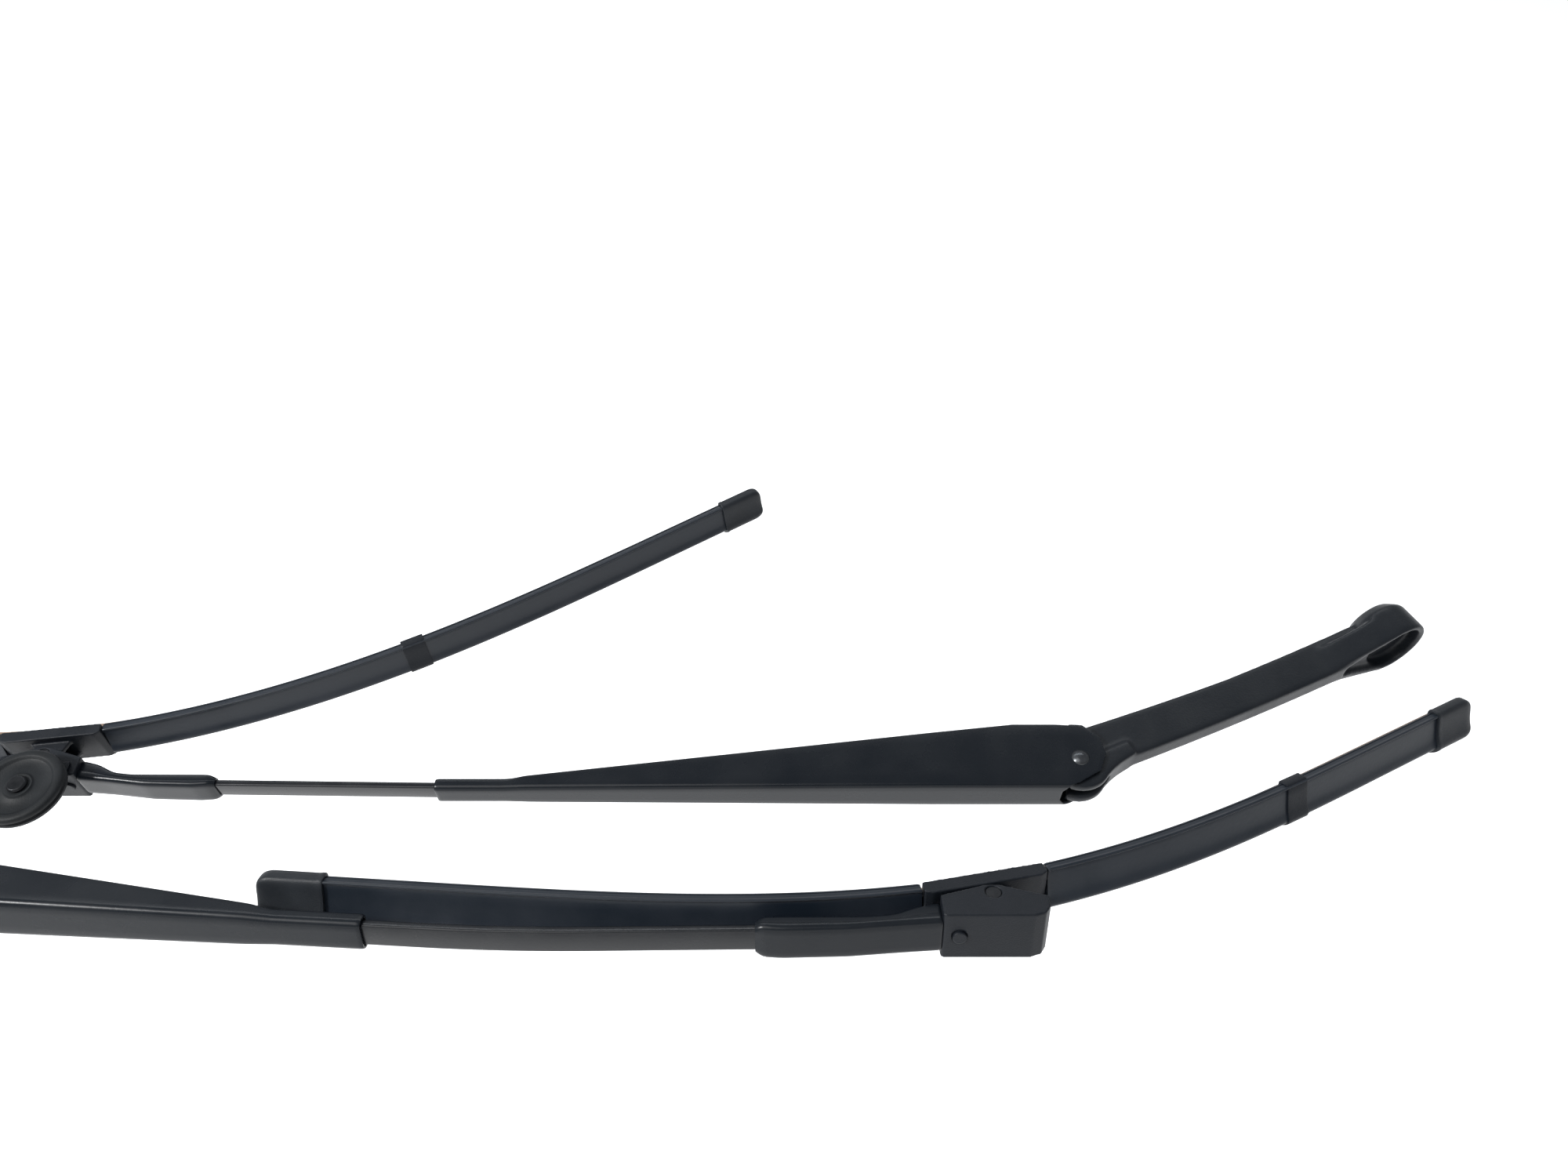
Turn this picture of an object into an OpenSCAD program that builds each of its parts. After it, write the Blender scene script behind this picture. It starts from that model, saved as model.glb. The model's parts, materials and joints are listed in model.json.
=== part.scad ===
// Pair of opposed windshield wipers: two spring-loaded arms that carry beam blades.
// Each wiper is drawn in its own arm frame: the origin is the arm hinge, +X runs to the
// tip, +Y towards the glass and Z along the hinge pin. The right wiper is the mirror
// image; both are then placed around the right spindle bore, the origin of the part.

/* [Head] */
// Distance from the arm hinge to the spindle bore
head_len = 166; // [140:1:175]
// Angle by which the unloaded arm folds towards the glass
fold_deg = 24; // [15:1:30]
// Depth of the head link, outer side to glass side
link_d = 17.5; // [14:0.5:20]
// Width of the head link
link_w = 10; // [8:0.5:12]
// Outer radius of the spindle eye
eye_r = 15; // [14:0.5:18]
// Radius of the recess that holds the spindle nut
recess_r = 12; // [10.5:0.5:13]
// Radius of the spindle bore
bore_r = 4.5; // [4:0.1:5.5]

/* [Arm] */
// Length of the pressed channel, hinge to tip
channel_len = 264; // [250:1:290]
// Width of the channel at the hinge
channel_w = 16.6; // [16:0.2:18]
// Width of the channel at its tip
tip_w = 11.4; // [11:0.2:14]
// Sheet thickness of the channel
sheet_t = 1.2; // [1:0.1:1.6]
// Width of the flat rod
rod_w = 8.2; // [7:0.2:9]
// Thickness of the flat rod
rod_t = 2.8; // [2.4:0.1:3.2]
// Bare length of the right wiper's rod
rod_free_r = 90; // [80:1:110]
// Bare length of the left wiper's rod
rod_free_l = 119; // [100:1:130]
// Length of the formed arm end
end_len = 56.5; // [50:0.5:64]
// Radius of the hinge pin
pin_r = 2.5; // [2.3:0.1:2.6]

/* [Blade] */
// Length from the pivot to either end of the right blade
half_r = 330; // [300:5:360]
// Length from the pivot to either end of the left blade
half_l = 229; // [200:1:260]
// Height of the right flexor above its blade pivot
pivot_h_r = 10.5; // [9:0.5:12]
// Height of the left flexor above its blade pivot
pivot_h_l = 6.8; // [6.4:0.2:10]
// Tilt of the right blade on its pivot at rest
tilt_r = -7; // [-10:0.5:4]
// Tilt of the left blade on its pivot at rest
tilt_l = 13; // [4:0.5:16]
// Bend of the right blade at its centre, degrees per mm
bend_r = 0.19; // [0.15:0.005:0.2]
// Bend of the left blade at its centre, degrees per mm
bend_l = 0.207; // [0.16:0.005:0.22]
// Length of an end cap
cap_len = 22; // [18:1:26]

/* [Parking roller] */
// Radius of the parking roller
roller_r = 16.6; // [14:0.2:18]
// Width of the parking roller
roller_w = 6; // [5:0.5:8]

/* [Placement] */
// Height of the left wiper's hinge above the right one's
lift = 76.6; // [70:0.2:90]
// Roll of the left wiper about its length
roll_l = 22; // [15:1:30]
// Angle by which the left rod is set, between the channel and the arm end
set_l = 4; // [0:0.5:5]

/* [Hidden] */
R = 0;                       // index of the right wiper
L = 1;                       // index of the left wiper
eps = 0.02;
rod_free = [rod_free_r, rod_free_l];
half = [half_r, half_l];
tilt = [tilt_r, tilt_l];
bend = [bend_r, bend_l];
pivot_h = [pivot_h_r, pivot_h_l];
straight = [279, 172];       // arc length beyond which the blade is straight
floor_y = -13.3;             // outer face of the channel
rod_y = floor_y + sheet_t + rod_t / 2;
piv_y = 1.5;                 // blade pivot above the hinge line
ad_y = -8.6;                 // outer face of the adapter
neck_h = 5.5;                // height of the necked tip of the channel
set_x = 320;                 // where the left rod's set is centred
end_x = [for (w = [0, 1]) channel_len + rod_free[w]];
piv_x = [for (w = [0, 1]) end_x[w] + end_len + 16.5];
post = [-2, 6.5];            // spring post, seen from the hinge
anchor = [152, rod_y + 1.2]; // where the spring holds the rod
spring_a = atan2(anchor[1] - post[1], anchor[0] - post[0]);
eye = [head_len * cos(fold_deg), head_len * sin(fold_deg), 0];
flat_h = channel_w / 2 - sheet_t;

// ---- placement of the two wipers ----
module place(w) {
    if (w == R)
        translate([-eye[0], -eye[1], 0]) mirror([1, 0, 0]) children();
    else
        translate([-513.5 - eye[0], -98.9 - eye[1], lift]) rotate([-roll_l, 0, 0]) children();
}
// the hinge side of the left wiper is turned about the set of its rod
module near(w) {
    if (w == R) place(R) children();
    else place(L) translate([set_x, rod_y, 0]) rotate([0, 0, -set_l]) translate([-set_x, -rod_y, 0]) children();
}
module in_head() rotate([0, 0, -fold_deg]) children();
module in_hook() translate([post[0], post[1], 0]) rotate([0, 0, spring_a]) children();
module in_blade(w) translate([piv_x[w], piv_y, 0]) rotate([0, 0, tilt[w]]) children();
module round_z(r, a, b) translate([0, 0, a]) cylinder(r = r, h = b - a, $fn = 64);

// ---- blade curve: tangent angle and points along it, in the blade's own frame ----
function turn(w, s) = let (a = min(abs(s), straight[w]))
    sign(s) * (bend[w] * a - bend[w] / straight[w] * a * a / 2);
function walk(w, s1, n) = let (d = s1 / n)
    [for (i = 0, x = 0, y = pivot_h[w]; i <= n;
          x = x + d * cos(turn(w, d * (i + 0.5))), y = y + d * sin(turn(w, d * (i + 0.5))), i = i + 1)
        [x, y, turn(w, d * i)]];
function at_s(w, s) = let (p = walk(w, s, 24)) p[24];

// Closed solid with profile pts (z, height towards the glass) swept through stations
module sweep(stations, pts, caps = []) {
    n = len(pts); m = len(stations);
    V = [for (q = stations, p = pts) [q[0] - p[1] * sin(q[2]), q[1] + p[1] * cos(q[2]), p[0]]];
    ends = len(caps) > 0 ? caps : [[for (j = [0 : n - 1]) j]];
    F = concat(
        [for (c = ends) [for (j = [len(c) - 1 : -1 : 0]) c[j]]],
        [for (i = [0 : m - 2], j = [0 : n - 1]) let (k = (j + 1) % n)
            [i * n + j, i * n + k, (i + 1) * n + j]],
        [for (i = [0 : m - 2], j = [0 : n - 1]) let (k = (j + 1) % n)
            [i * n + k, (i + 1) * n + k, (i + 1) * n + j]],
        [for (c = ends) [for (j = c) (m - 1) * n + j]]);
    polyhedron(points = V, faces = F, convexity = 8);
}
function part_of(w, s0, s1, n) = let (a = at_s(w, s0), d = (s1 - s0) / n)
    [for (i = 0, x = a[0], y = a[1]; i <= n;
          x = x + d * cos(turn(w, s0 + d * (i + 0.5))), y = y + d * sin(turn(w, s0 + d * (i + 0.5))), i = i + 1)
        [x, y, turn(w, s0 + d * i)]];

rubber_pts = [[3.1, 0.5], [3.1, 1.9], [1.1, 2.1], [1.1, 2.8], [2.7, 3.1], [2.7, 3.9], [0.9, 4.8], [0.4, 7.6],
              [-0.4, 7.6], [-0.9, 4.8], [-2.7, 3.9], [-2.7, 3.1], [-1.1, 2.8], [-1.1, 2.1], [-3.1, 1.9], [-3.1, 0.5]];
spoiler_pts = [[7.9, 1.7], [3.3, 1.7], [3.3, 0.6], [4.7, 0.6], [4.7, -0.5], [-4.7, -0.5], [-4.7, 0.6], [-3.3, 0.6],
               [-3.3, 1.7], [-8.0, 1.7], [-8.3, -0.3], [-7.3, -2.3], [-6.0, -3.9], [-4.9, -4.7], [-3.8, -4.6],
               [-1.9, -3.7], [1.0, -2.8], [4.2, -2.0], [7.4, -1.3], [8.1, -0.6]];
// convex pieces of the two hollow profiles, for their flat ends
spoiler_ends = [[0, 1, 2, 3], [0, 3, 4, 19], [6, 7, 8, 9], [5, 6, 9, 10], [5, 10, 11], [5, 11, 12], [5, 12, 13], [5, 13, 14],
                [5, 14, 15], [5, 15, 16], [4, 5, 16], [4, 16, 17], [4, 17, 18], [4, 18, 19]];
clip_ends = concat([[0, 1, 2, 3], [0, 3, 4, 27]], [for (i = [4 : 12]) [31 - i, i, i + 1, 30 - i]], [[18, 13, 14, 17], [17, 14, 15, 16]]);
cap_pts = [[8.8, 2.6], [-8.9, 2.6], [-9.2, -0.3], [-8.2, -2.9], [-6.7, -4.8], [-5.2, -5.8], [-3.5, -5.7],
           [-1.2, -4.7], [2.0, -3.7], [7.9, -2.3], [9.0, -1.0]];

// ---- head: cast link with the spindle eye, hinge boss and spring slot ----
link_mid = [for (t = [0 : 0.1 : 1]) [-6 - t * (head_len - 14), 2.6 - 6.4 * t * (1 - t) - 0.6 * t]];
module head() in_head() difference() {
    union() {
        linear_extrude(link_w, center = true) polygon(concat(
            [for (i = [0 : 10]) [link_mid[i][0], link_mid[i][1] + link_d / 2 + 2.6 * max(0, 1 - i / 5)]],
            [for (i = [10 : -1 : 0]) [link_mid[i][0], link_mid[i][1] - link_d / 2]]));
        round_z(9.6, -6.5, 6.5);
        translate([-head_len, 7.5, 0]) rotate([90, 0, 0]) cylinder(r = eye_r, h = 14.3, $fn = 96);
        translate([-head_len, 12.5, 0]) rotate([90, 0, 0]) cylinder(r1 = eye_r - 4.5, r2 = eye_r, h = 5, $fn = 96);
        // knuckle that fills the end of the channel
        linear_extrude(13, center = true) union() {
            intersection() {
                circle(r = 13, $fn = 128);
                polygon([[0, 0], [-13.1, -15.1], [3, -25], [19, -14]]);
            }
            polygon([[0, 0], [-4.5, -12.18], [-7.5, -10.6], [-11, -9.2], [-16, -7.8], [-24, -6.6], [-24, 0]]);
        }
        translate([-head_len, 6, 0]) rotate([90, 0, 0]) linear_extrude(12.8)
            polygon([[0, eye_r], [7, eye_r - 1.6], [38, link_w / 2], [38, -link_w / 2], [7, -eye_r + 1.6], [0, -eye_r]]);
    }
    // recess for the nut, drawn out towards the link
    translate([-head_len, -0.5, 0]) rotate([90, 0, 0]) cylinder(r = recess_r, h = 12, $fn = 96);
    translate([-head_len, -3.5, 0]) rotate([90, 0, 0]) linear_extrude(12)
        polygon([[0, recess_r - 0.3], [7, recess_r - 1.8], [30, 2.4], [30, -2.4], [7, -recess_r + 1.8], [0, -recess_r + 0.3]]);
    translate([-head_len, 30, 0]) rotate([90, 0, 0]) cylinder(r = bore_r, h = 60, $fn = 64);
    // room for the spindle's shoulder
    translate([-head_len, 30, 0]) rotate([90, 0, 0]) cylinder(r = 7, h = 21, $fn = 64);
    // seat of the hinge bushes and of the spring post
    round_z(3.6, -20, 20);
    rotate([0, 0, fold_deg]) translate([post[0], post[1], 0]) round_z(1.6, -20, 20);
    // slot in which the spring hook swings, and the hollow on the glass side of the link
    translate([-9.5, -30, -2.2]) cube([40, 60, 4.4]);
    translate([-head_len + 24, 4.5, -2.6]) cube([head_len - 50, 20, 5.2]);
}
module hinge_bushes() for (m = [0, 1]) mirror([0, 0, m]) difference() {
    union() { round_z(3.6, 2.3, 6.5); round_z(5.2, 6.5, 6.8); }
    round_z(pin_r + 0.05, 0, 12);
}
module hinge_pin() {
    round_z(pin_r, -channel_w / 2, channel_w / 2);
    for (m = [0, 1]) mirror([0, 0, m]) translate([0, 0, channel_w / 2]) intersection() {
        translate([0, 0, -3.4]) sphere(r = 5, $fn = 64);
        round_z(4, 0, 4);
    }
}
module spring_post() translate([post[0], post[1], 0]) round_z(1.6, -5, 5);

// ---- C-shaped hook that reaches round the hinge pin, and the tension spring ----
module spring_hook() in_hook() difference() {
    union() {
        round_z(3.4, -1.5, 1.5);
        rotate([0, 0, 64]) translate([1, -1.4, -1.5]) cube([10, 2.8, 3]);
        translate([0, 0, -1.5]) rotate([0, 0, -8]) rotate_extrude(angle = 79, $fn = 96) translate([9.8, 0]) square([2.5, 3]);
        translate([10.5, -2.1, -1.5]) cube([13.5, 4.2, 3]);
    }
    round_z(1.68, -5, 5);
    translate([20.5, 0, 0]) round_z(1.3, -5, 5);
}
coil_r = 4.5; wire_r = 0.7; coil_a = 30; coil_b = 132; coils = 26;
function coil_path() = concat(
    [[26, 0, -2.5], [22.4, 0, -2.6], [20.9, 0, -2.1], [20.5, 0, -1.2], [20.5, 0, 1.2], [20.9, 0, 2.1], [22.4, 0, 2.6], [26, 0, 2.5]],
    [for (i = [0 : coils * 9]) let (t = i / (coils * 9), r = coil_r * min(1, i / 9 + 0.4, (coils * 9 - i) / 9 + 0.25))
        [coil_a + (coil_b - coil_a) * t, r * sin(360 * t * coils), r * cos(360 * t * coils)]],
    [[coil_b + 4, 0.3, 0.5], [coil_b + 10, 1.1, 0], [150, 1.4, 0], [153.4, 1.1, 0], [154.6, -0.2, 0], [154.8, -2.2, 0]]);
module tube(path, r, sides) {
    n = len(path);
    T = [for (i = [0 : n - 1]) let (d = path[min(i + 1, n - 1)] - path[max(i - 1, 0)]) d / norm(d)];
    V = [for (i = [0 : n - 1], j = [0 : sides - 1])
        let (u0 = cross(T[i], abs(T[i][0]) > 0.8 ? [0, 1, 0] : [1, 0, 0]), u = u0 / norm(u0), v = cross(T[i], u), a = 360 * j / sides)
        path[i] + r * (u * cos(a) + v * sin(a))];
    F = concat([[for (j = [sides - 1 : -1 : 0]) j]],
        [for (i = [0 : n - 2], j = [0 : sides - 1]) let (k = (j + 1) % sides)
            [i * sides + j, i * sides + k, (i + 1) * sides + j]],
        [for (i = [0 : n - 2], j = [0 : sides - 1]) let (k = (j + 1) % sides)
            [i * sides + k, (i + 1) * sides + k, (i + 1) * sides + j]],
        [[for (j = [0 : sides - 1]) (n - 1) * sides + j]]);
    polyhedron(points = V, faces = F, convexity = 10);
}
module tension_spring() in_hook() tube(coil_path(), wire_r, 6);

// ---- arm channel: pressed sheet, open towards the glass, necked down around the rod ----
function wall_top(x) = x < 26 ? 16.3 : 16.3 - (x - 26) * (16.3 + 7.2) / (228 - 26);
module channel_side(t) polygon([[9, floor_y + t], [channel_len + t, floor_y + t], [channel_len + t, floor_y + neck_h],
    [236, floor_y + neck_h], [229, wall_top(229)], [180, wall_top(180)], [26, 16.3], [8, 16.3], [-4.5, 15.3],
    [-8.6, 12], [-10.4, 6], [-11, 0.5], [-9.2, -4], [-4.5, -8.2], [2, -11.3]]);
module channel_plan(t) polygon([for (m = [1, -1], p = m == 1 ? [[-20, channel_w / 2], [60, channel_w / 2], [226, tip_w / 2 + 0.6], [236, tip_w / 2], [channel_len + 5, tip_w / 2]]
    : [[channel_len + 5, tip_w / 2], [236, tip_w / 2], [226, tip_w / 2 + 0.6], [60, channel_w / 2], [-20, channel_w / 2]]) [p[0], m * (p[1] - t)]]);
module arm_channel() difference() {
    intersection() {
        linear_extrude(40, center = true) channel_side(0);
        rotate([90, 0, 0]) linear_extrude(80, center = true) channel_plan(0);
    }
    // inside of the channel
    intersection() {
        linear_extrude(40, center = true) polygon([[-30, floor_y + sheet_t], [channel_len + 5, floor_y + sheet_t],
            [channel_len + 5, floor_y + neck_h - sheet_t], [232, floor_y + neck_h - sheet_t], [229, 40], [-30, 40]]);
        rotate([90, 0, 0]) linear_extrude(80, center = true) channel_plan(sheet_t);
    }
    // seam between the two folded flanges over the rod
    translate([225, floor_y + 3, -1.2]) cube([60, 10, 2.4]);
    // the outer face stops short of the hinge, so that the head can swing between the cheeks
    translate([-20, -20, -flat_h]) cube([27.2, 12.5, 2 * flat_h]);
    round_z(pin_r, -30, 30);
}
// ---- flat rod with the hole that the spring hooks into ----
rod_up = 0.8;
// centre line of the left rod: straight in the turned channel, a soft set, straight to the arm end
set_a = [set_x - 38, rod_y + 38 * sin(set_l)];
set_c = let (x = (set_x * sin(set_l) + 246 * tan(rod_up)) / (sin(set_l) + tan(rod_up))) [x, rod_y + (x - 246) * tan(rod_up)];
set_b = [set_x + 14, rod_y + (set_x + 14 - 246) * tan(rod_up)];
function set_at(t) = (1 - t) * (1 - t) * set_a + 2 * t * (1 - t) * set_c + t * t * set_b;
module arm_rod(w) {
    if (w == R) difference() {
        union() {
            translate([146, rod_y - rod_t / 2, -rod_w / 2]) cube([100 + eps, rod_t, rod_w]);
            translate([246, rod_y, 0]) rotate([0, 0, rod_up]) translate([0, -rod_t / 2, -rod_w / 2])
                cube([channel_len - 246 + rod_free[w] + 26, rod_t, rod_w]);
        }
        translate([anchor[0], rod_y, 0]) rotate([90, 0, 0]) cylinder(r = 1.7, h = 10, center = true, $fn = 32);
    } else difference() {
        sweep(concat([[set_x - (set_x - 146) * cos(set_l), rod_y + (set_x - 146) * sin(set_l), -set_l]],
            [for (i = [0 : 8]) let (p = set_at(i / 8)) [p[0], p[1], -set_l + (set_l + rod_up) * i / 8]],
            [[end_x[L] + 25, rod_line(end_x[L] + 25), rod_up]]),
            [[rod_w / 2, -rod_t / 2], [rod_w / 2, rod_t / 2], [-rod_w / 2, rod_t / 2], [-rod_w / 2, -rod_t / 2]]);
        translate([set_x, rod_y, 0]) rotate([0, 0, -set_l]) translate([anchor[0] - set_x, 0, 0]) rotate([90, 0, 0])
            cylinder(r = 1.7, h = 10, center = true, $fn = 32);
    }
}
// ---- arm end: formed sleeve that takes the rod and carries the adapter ----
function rod_line(x) = rod_y + (x - 246) * tan(rod_up);
module arm_end(w) {
    x0 = end_x[w]; x1 = x0 + end_len; yr = rod_line(x0);
    difference() {
        union() {
            linear_extrude(13, center = true) polygon([[x0, yr - 1.6], [x0 + 3, yr - 2.6], [x0 + 8, yr - 3.1], [x0 + 28, yr - 2.5], [x1 - 12, ad_y - 1.1], [x1, ad_y - 0.1],
                [x1, piv_y - 1.4], [x1 - 7, piv_y - 3.2], [x1 - 14, yr + 3.9], [x1 - 22, yr + 3.0], [x0 + 3, yr + 2.9], [x0, yr + 1.8]]);
            translate([x1 - eps, -6.2, -3]) cube([13, 2.6, 6]);
        }
        // socket for the rod
        translate([246, rod_y, 0]) rotate([0, 0, rod_up]) translate([0, -rod_t / 2, -rod_w / 2])
            cube([channel_len - 246 + rod_free[w] + 26, rod_t, rod_w]);
        // hollow behind the two cheeks
        linear_extrude(8.4, center = true) polygon([[x1 - 24, yr + 9], [x1 - 20, yr + 1.8], [x1 - 12, yr + 1.8], [x1 - 8, -3.4], [x1 - 1.6, -3.4], [x1 - 1.6, yr + 20]]);
    }
}
// ---- adapter: housing that snaps onto the pivot pin and holds the arm end ----
module adapter(w) translate([piv_x[w], 0, 0]) difference() {
    linear_extrude(17.4, center = true) polygon([[-16.5, ad_y + 0.6], [-15.5, ad_y], [11, ad_y], [14.6, ad_y + 1.3], [16.5, ad_y + 4.2],
        [16.5, piv_y - 1.4], [5, piv_y + 2.2], [2.8, piv_y + 3.0], [0, piv_y + 3.3], [-2.8, piv_y + 3.0], [-5, piv_y + 2.2], [-16.5, piv_y - 1.4]]);
    linear_extrude(11.4, center = true) polygon([[-15, -2.8], [15, -2.8], [15, 20], [-15, 20]]);
    translate([0, piv_y, 0]) round_z(pin_r + 0.06, -20, 20);
    translate([-17, -6.2, -3]) cube([13.6, 2.6, 6]);
    translate([-11.2, ad_y - 2, 0]) rotate([-90, 0, 0]) cylinder(r = 2.3, h = 4.6, $fn = 48);
}
module release_button(w) translate([piv_x[w] - 11.2, ad_y - 0.9, 0]) rotate([-90, 0, 0]) cylinder(r = 2.2, h = 1.9, $fn = 48);

// ---- blade carrier: base clipped over the flexor, with two ears for the pivot pin ----
module connector_base(w) in_blade(w) difference() {
    union() {
        linear_extrude(17.2, center = true) polygon([[-20, pivot_h[w] + 2.2], [-20.4, pivot_h[w] - 1.8], [-18, pivot_h[w] - 3.0], [18, pivot_h[w] - 3.0],
            [20.4, pivot_h[w] - 1.8], [20, pivot_h[w] + 2.2]]);
        for (m = [0, 1]) mirror([0, 0, m]) translate([0, 0, 3.4]) {
            cylinder(r = 4, h = 2, $fn = 64);
            linear_extrude(2) polygon([[-8, pivot_h[w] - 2.5], [-3.9, -0.8], [3.9, -0.8], [8, pivot_h[w] - 2.5]]);
        }
    }
    // channel for the flexor and the rubber, on the bowed line
    sweep(part_of(w, -26, 26, 12), [[4.7, -0.5], [4.7, 0.6], [3.3, 0.6], [3.3, 8], [-3.3, 8], [-3.3, 0.6], [-4.7, 0.6], [-4.7, -0.5]]);
    round_z(pin_r, -20, 20);
}
module pivot_pin(w) translate([piv_x[w], piv_y, 0]) round_z(pin_r, -8.4, 8.4);
module flexor(w) in_blade(w) sweep(part_of(w, -half[w] + 5, half[w] - 5, w == R ? 48 : 44), [[4.5, -0.45], [4.5, 0.45], [-4.5, 0.45], [-4.5, -0.45]]);
module rubber(w) in_blade(w) sweep(part_of(w, -half[w] + 4, half[w] - 4, w == R ? 48 : 44), rubber_pts);
module spoiler(w, a, b) in_blade(w) sweep(part_of(w, a, b, 26), spoiler_pts, spoiler_ends);
// ---- end cap: moulded cover with a pocket for the end of the blade ----
module cap(w, m) in_blade(w) {
    q = at_s(w, m * (half[w] - cap_len));
    translate([q[0], q[1], 0]) rotate([0, 0, q[2]]) difference() {
        rotate([0, 90, 0]) linear_extrude(cap_len * 2, center = true) polygon([for (p = cap_pts) [-p[0], p[1]]]);
        translate([m > 0 ? -100 : 0, -50, -50]) cube([100, 100, 100]);
        translate([0, 0, 0]) rotate([0, 90, 0]) linear_extrude(12, center = true) polygon([for (p = spoiler_pts) [-p[0], p[1]]]);
        rotate([0, 90, 0]) linear_extrude(2 * cap_len - 6, center = true) polygon([[-4.75, -0.55], [-4.75, 4.2], [4.75, 4.2], [4.75, -0.55]]);
    }
}
// ---- clip that holds the spoiler and the rubber on the flexor half way along ----
clip_pts = [[8.5, 2.4], [3.4, 2.4], [3.4, 1.82], [8.02, 1.82], [8.23, -0.66], [7.48, -1.43], [4.24, -2.13], [1.04, -2.93], [-1.85, -3.82],
            [-3.77, -4.73], [-4.95, -4.83], [-6.1, -3.99], [-7.42, -2.36], [-8.43, -0.3], [-8.12, 1.82], [-3.4, 1.82], [-3.4, 2.4],
            [-8.6, 2.4], [-8.9, -0.3], [-7.8, -2.65], [-6.4, -4.4], [-5.1, -5.3], [-3.6, -5.2], [-1.7, -4.25], [1.2, -3.4],
            [4.4, -2.6], [7.7, -1.9], [8.7, -0.8]];
module clip(w, s) in_blade(w) sweep(part_of(w, s - 5, s + 5, 4), clip_pts, clip_ends);

// ---- parking roller on the side of the right adapter ----
roll_x = piv_x[0] - 2; roll_y = -17.6;
module bracket_plate() translate([0, 0, 8.7]) {
    difference() {
        union() {
            linear_extrude(1.5) polygon([[roll_x - 12, -11], [roll_x + 12, -11], [roll_x + 12, -3], [roll_x - 12, -3]]);
            linear_extrude(1.5) polygon([[roll_x - 12, -11], [roll_x - 4.5, roll_y - 1], [roll_x + 4.5, roll_y - 1], [roll_x + 12, -11]]);
            translate([roll_x, roll_y, 0]) cylinder(r = 4.7, h = 1.5, $fn = 64);
        }
        translate([roll_x, roll_y, -1]) cylinder(r = 2, h = 4, $fn = 64);
    }
}
module roller_axle() translate([roll_x, roll_y, 8.7]) {
    cylinder(r = 2, h = roller_w + 2.3, $fn = 64);
    translate([0, 0, roller_w + 2.3]) cylinder(r1 = 4, r2 = 3.2, h = 1, $fn = 64);
}
module roller() translate([roll_x, roll_y, 10.6]) difference() {
    rotate_extrude($fn = 128) polygon([[2.06, 0.4], [5.4, 0.4], [6.2, 1.2], [12.4, 1.2], [13.2, 0], [roller_r - 1.2, 0],
        [roller_r, 1.2], [roller_r, roller_w - 1.2], [roller_r - 1.2, roller_w], [13.2, roller_w], [12.4, roller_w - 1.2], [6.2, roller_w - 1.2], [5.4, roller_w - 0.3], [2.06, roller_w - 0.3]]);
}

// ---- one module per node: its colour and its place ----
module right_head() color("#26292e") place(R) head();
module right_hinge_bushes() color("#c9a86a") place(R) hinge_bushes();
module right_hinge_pin() color("#3a3d42") place(R) hinge_pin();
module right_spring_post() color("#9aa0a6") place(R) spring_post();
module right_spring_hook() color("#8d9298") place(R) spring_hook();
module right_tension_spring() color("#7c8187") place(R) tension_spring();
module right_arm_channel() color("#23272d") place(R) arm_channel();
module right_arm_rod() color("#2b2f34") place(R) arm_rod(R);
module right_arm_end() color("#24282e") place(R) arm_end(R);
module right_adapter() color("#1e2126") place(R) adapter(R);
module right_release_button() color("#2d3136") place(R) release_button(R);
module right_connector_base() color("#22262b") place(R) connector_base(R);
module right_pivot_pin() color("#8d9298") place(R) pivot_pin(R);
module right_flexor() color("#4a4f55") place(R) flexor(R);
module right_rubber() color("#151618") place(R) rubber(R);
module right_spoiler_inner() color("#262b33") place(R) spoiler(R, -half[R] + cap_len - 5.8, -20.8);
module right_spoiler_outer() color("#262b33") place(R) spoiler(R, 20.8, half[R] - cap_len + 5.8);
module right_blade_clips() color("#1f2328") place(R) { clip(R, -150); clip(R, 150); }
module right_cap_inner() color("#1d2025") place(R) cap(R, -1);
module right_cap_outer() color("#1d2025") place(R) cap(R, 1);
module park_bracket() color("#24282e") place(R) bracket_plate();
module park_axle() color("#8d9298") place(R) roller_axle();
module park_roller() color("#151618") place(R) roller();
module left_head() color("#26292e") near(L) head();
module left_hinge_bushes() color("#c9a86a") near(L) hinge_bushes();
module left_hinge_pin() color("#3a3d42") near(L) hinge_pin();
module left_spring_post() color("#9aa0a6") near(L) spring_post();
module left_spring_hook() color("#8d9298") near(L) spring_hook();
module left_tension_spring() color("#7c8187") near(L) tension_spring();
module left_arm_channel() color("#23272d") near(L) arm_channel();
module left_arm_rod() color("#2b2f34") place(L) arm_rod(L);
module left_arm_end() color("#24282e") place(L) arm_end(L);
module left_adapter() color("#1e2126") place(L) adapter(L);
module left_release_button() color("#2d3136") place(L) release_button(L);
module left_connector_base() color("#22262b") place(L) connector_base(L);
module left_pivot_pin() color("#8d9298") place(L) pivot_pin(L);
module left_flexor() color("#4a4f55") place(L) flexor(L);
module left_rubber() color("#151618") place(L) rubber(L);
module left_spoiler_inner() color("#262b33") place(L) spoiler(L, -half[L] + cap_len - 5.8, -20.8);
module left_spoiler_outer() color("#262b33") place(L) spoiler(L, 20.8, half[L] - cap_len + 5.8);
module left_blade_clip() color("#1f2328") place(L) clip(L, 126);
module left_cap_inner() color("#1d2025") place(L) cap(L, -1);
module left_cap_outer() color("#1d2025") place(L) cap(L, 1);

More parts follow.
